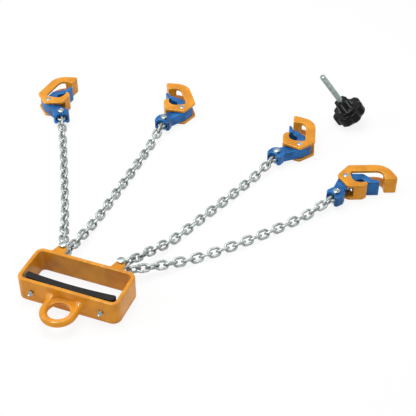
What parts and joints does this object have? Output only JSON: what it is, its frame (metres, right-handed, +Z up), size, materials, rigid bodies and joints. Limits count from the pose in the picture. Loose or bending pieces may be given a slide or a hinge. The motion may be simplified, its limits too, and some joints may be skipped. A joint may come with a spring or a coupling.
{
  "type": "drum lifter",
  "caption": "Fork pocket with a lifting eye, two lugs with chain legs, and cam clamps that grip drum rims; the knob screw that locks it on a fork stands beside it.",
  "frame": {"origin": "middle of the fork pocket, on the floor", "axes": "+Z up along the pocket, X along the pocket's long side, +Y from the pocket towards the chain legs"},
  "size_m": [0.7907, 0.8105, 0.1234],
  "materials": {
    "orange_paint": "gloss powder coat over a casting",
    "blue_paint": "gloss powder coat over a casting",
    "zinc_chain": "zinc plated",
    "zinc_steel": "bright zinc plated",
    "rubber": "matt",
    "black_plastic": "gloss"
  },
  "bodies": {
    "frame": {"fork_frame": "orange_paint", "fork_frame_end": "orange_paint", "lifting_eye": "orange_paint", "rubber_pad": "rubber", "pad_screws": "zinc_steel", "pad_nuts": "zinc_steel", "lug_bolts": "zinc_steel", "lug_nuts": "zinc_steel"},
    "knob": {"knob_head": "black_plastic", "knob_stud": "zinc_steel"},
    "leg_1_end": {"end_link_1": "zinc_chain"},
    "leg_1_chain_a": {"chain_1_a": "zinc_chain"},
    "leg_1_chain_b": {"chain_1_b": "zinc_chain"},
    "leg_1_chain_c": {"chain_1_c": "zinc_chain"},
    "leg_1_chain_d": {"chain_1_d": "zinc_chain"},
    "leg_1_lever": {"lever_1": "blue_paint", "lever_bolt_1": "zinc_steel", "lever_nut_1": "zinc_steel"},
    "leg_1_clamp": {"clamp_body_1": "orange_paint", "pivot_pin_1": "zinc_steel"},
    "leg_2_end": {"end_link_2": "zinc_chain"},
    "leg_2_chain_a": {"chain_2_a": "zinc_chain"},
    "leg_2_chain_b": {"chain_2_b": "zinc_chain"},
    "leg_2_chain_c": {"chain_2_c": "zinc_chain"},
    "leg_2_chain_d": {"chain_2_d": "zinc_chain"},
    "leg_2_lever": {"lever_2": "blue_paint", "lever_bolt_2": "zinc_steel", "lever_nut_2": "zinc_steel"},
    "leg_2_clamp": {"clamp_body_2": "orange_paint", "pivot_pin_2": "zinc_steel"},
    "leg_3_end": {"end_link_3": "zinc_chain"},
    "leg_3_chain_a": {"chain_3_a": "zinc_chain"},
    "leg_3_chain_b": {"chain_3_b": "zinc_chain"},
    "leg_3_chain_c": {"chain_3_c": "zinc_chain"},
    "leg_3_chain_d": {"chain_3_d": "zinc_chain"},
    "leg_3_lever": {"lever_3": "blue_paint", "lever_bolt_3": "zinc_steel", "lever_nut_3": "zinc_steel"},
    "leg_3_clamp": {"clamp_body_3": "orange_paint", "pivot_pin_3": "zinc_steel"},
    "leg_4_end": {"end_link_4": "zinc_chain"},
    "leg_4_chain_a": {"chain_4_a": "zinc_chain"},
    "leg_4_chain_b": {"chain_4_b": "zinc_chain"},
    "leg_4_chain_c": {"chain_4_c": "zinc_chain"},
    "leg_4_chain_d": {"chain_4_d": "zinc_chain"},
    "leg_4_lever": {"lever_4": "blue_paint", "lever_bolt_4": "zinc_steel", "lever_nut_4": "zinc_steel"},
    "leg_4_clamp": {"clamp_body_4": "orange_paint", "pivot_pin_4": "zinc_steel"}
  },
  "joints": [
    {"name": "leg_1_yaw", "type": "hinge", "parent": "frame", "child": "leg_1_end", "pos_m": [-0.056, 0.0585, 0.036], "axis": [0, 0, 1], "range_deg": [-4, 18]},
    {"name": "leg_1_lift", "type": "hinge", "parent": "leg_1_end", "child": "leg_1_chain_a", "pos_m": [-0.06304, 0.07231, 0.036], "axis": [0.891, 0.454, 0], "range_deg": [0, 20]},
    {"name": "leg_1_bend_a", "type": "hinge", "parent": "leg_1_chain_a", "child": "leg_1_chain_b", "pos_m": [-0.11528, 0.17312, 0.00745], "axis": [0, 0, 1], "range_deg": [-15, 15]},
    {"name": "leg_1_bend_b", "type": "hinge", "parent": "leg_1_chain_b", "child": "leg_1_chain_c", "pos_m": [-0.16346, 0.26371, 0.00745], "axis": [0, 0, -1], "range_deg": [-15, 15]},
    {"name": "leg_1_bend_c", "type": "hinge", "parent": "leg_1_chain_c", "child": "leg_1_chain_d", "pos_m": [-0.22082, 0.36876, 0.00745], "axis": [0, 0, 1], "range_deg": [-15, 15]},
    {"name": "leg_1_fork", "type": "hinge", "parent": "leg_1_chain_d", "child": "leg_1_lever", "pos_m": [-0.26845, 0.45382, 0.018], "axis": [0, 0, -1], "range_deg": [-15, 15]},
    {"name": "leg_1_cam", "type": "hinge", "parent": "leg_1_lever", "child": "leg_1_clamp", "pos_m": [-0.31194, 0.48046, 0.018], "axis": [0, 0, -1], "range_deg": [0, 20]},
    {"name": "leg_2_yaw", "type": "hinge", "parent": "frame", "child": "leg_2_end", "pos_m": [-0.056, 0.0585, 0.0226], "axis": [0, 0, 1], "range_deg": [-12, 4]},
    {"name": "leg_2_lift", "type": "hinge", "parent": "leg_2_end", "child": "leg_2_chain_a", "pos_m": [-0.05573, 0.074, 0.0226], "axis": [0.9998, -0.0175, 0], "range_deg": [0, 10]},
    {"name": "leg_2_bend_a", "type": "hinge", "parent": "leg_2_chain_a", "child": "leg_2_chain_b", "pos_m": [-0.05434, 0.19003, 0.00745], "axis": [0, 0, 1], "range_deg": [-15, 15]},
    {"name": "leg_2_bend_b", "type": "hinge", "parent": "leg_2_chain_b", "child": "leg_2_chain_c", "pos_m": [-0.054, 0.29263, 0.00745], "axis": [0, 0, -1], "range_deg": [-15, 15]},
    {"name": "leg_2_bend_c", "type": "hinge", "parent": "leg_2_chain_c", "child": "leg_2_chain_d", "pos_m": [-0.05464, 0.41232, 0.00745], "axis": [0, 0, 1], "range_deg": [-15, 15]},
    {"name": "leg_2_fork", "type": "hinge", "parent": "leg_2_chain_d", "child": "leg_2_lever", "pos_m": [-0.056, 0.5098, 0.018], "axis": [0, 0, -1], "range_deg": [-15, 15]},
    {"name": "leg_2_cam", "type": "hinge", "parent": "leg_2_lever", "child": "leg_2_clamp", "pos_m": [-0.03206, 0.55483, 0.018], "axis": [0, 0, 1], "range_deg": [0, 20]},
    {"name": "leg_3_yaw", "type": "hinge", "parent": "frame", "child": "leg_3_end", "pos_m": [0.056, 0.0585, 0.036], "axis": [0, 0, 1], "range_deg": [-4, 12]},
    {"name": "leg_3_lift", "type": "hinge", "parent": "leg_3_end", "child": "leg_3_chain_a", "pos_m": [0.0613, 0.07307, 0.036], "axis": [0.9397, -0.342, 0], "range_deg": [0, 20]},
    {"name": "leg_3_bend_a", "type": "hinge", "parent": "leg_3_chain_a", "child": "leg_3_chain_b", "pos_m": [0.09955, 0.17997, 0.00745], "axis": [0, 0, 1], "range_deg": [-10, 15]},
    {"name": "leg_3_bend_b", "type": "hinge", "parent": "leg_3_chain_b", "child": "leg_3_chain_c", "pos_m": [0.13328, 0.27687, 0.00745], "axis": [0, 0, -1], "range_deg": [-15, 15]},
    {"name": "leg_3_bend_c", "type": "hinge", "parent": "leg_3_chain_c", "child": "leg_3_chain_d", "pos_m": [0.17164, 0.39026, 0.00745], "axis": [0, 0, 1], "range_deg": [-15, 15]},
    {"name": "leg_3_fork", "type": "hinge", "parent": "leg_3_chain_d", "child": "leg_3_lever", "pos_m": [0.20209, 0.48286, 0.018], "axis": [0, 0, -1], "range_deg": [-15, 15]},
    {"name": "leg_3_cam", "type": "hinge", "parent": "leg_3_lever", "child": "leg_3_clamp", "pos_m": [0.23939, 0.51764, 0.018], "axis": [0, 0, 1], "range_deg": [0, 20]},
    {"name": "leg_4_yaw", "type": "hinge", "parent": "frame", "child": "leg_4_end", "pos_m": [0.056, 0.0585, 0.0226], "axis": [0, 0, 1], "range_deg": [-18, 4]},
    {"name": "leg_4_lift", "type": "hinge", "parent": "leg_4_end", "child": "leg_4_chain_a", "pos_m": [0.06787, 0.06846, 0.0226], "axis": [0.6428, -0.766, 0], "range_deg": [0, 10]},
    {"name": "leg_4_bend_a", "type": "hinge", "parent": "leg_4_chain_a", "child": "leg_4_chain_b", "pos_m": [0.15272, 0.14756, 0.00745], "axis": [0, 0, 1], "range_deg": [-15, 10]},
    {"name": "leg_4_bend_b", "type": "hinge", "parent": "leg_4_chain_b", "child": "leg_4_chain_c", "pos_m": [0.2218, 0.2234, 0.00745], "axis": [0, 0, -1], "range_deg": [-15, 15]},
    {"name": "leg_4_bend_c", "type": "hinge", "parent": "leg_4_chain_c", "child": "leg_4_chain_d", "pos_m": [0.29477, 0.31823, 0.00745], "axis": [0, 0, 1], "range_deg": [-15, 15]},
    {"name": "leg_4_fork", "type": "hinge", "parent": "leg_4_chain_d", "child": "leg_4_lever", "pos_m": [0.34772, 0.40006, 0.018], "axis": [0, 0, -1], "range_deg": [-18.5, 11.5]},
    {"name": "leg_4_cam", "type": "hinge", "parent": "leg_4_lever", "child": "leg_4_clamp", "pos_m": [0.3526, 0.45082, 0.018], "axis": [0, 0, -1], "range_deg": [0, 20]},
    {"name": "knob_lift", "type": "slide", "parent": "frame", "child": "knob", "axis": [0, 0, 1], "range_m": [0, 0.06]}
  ]
}
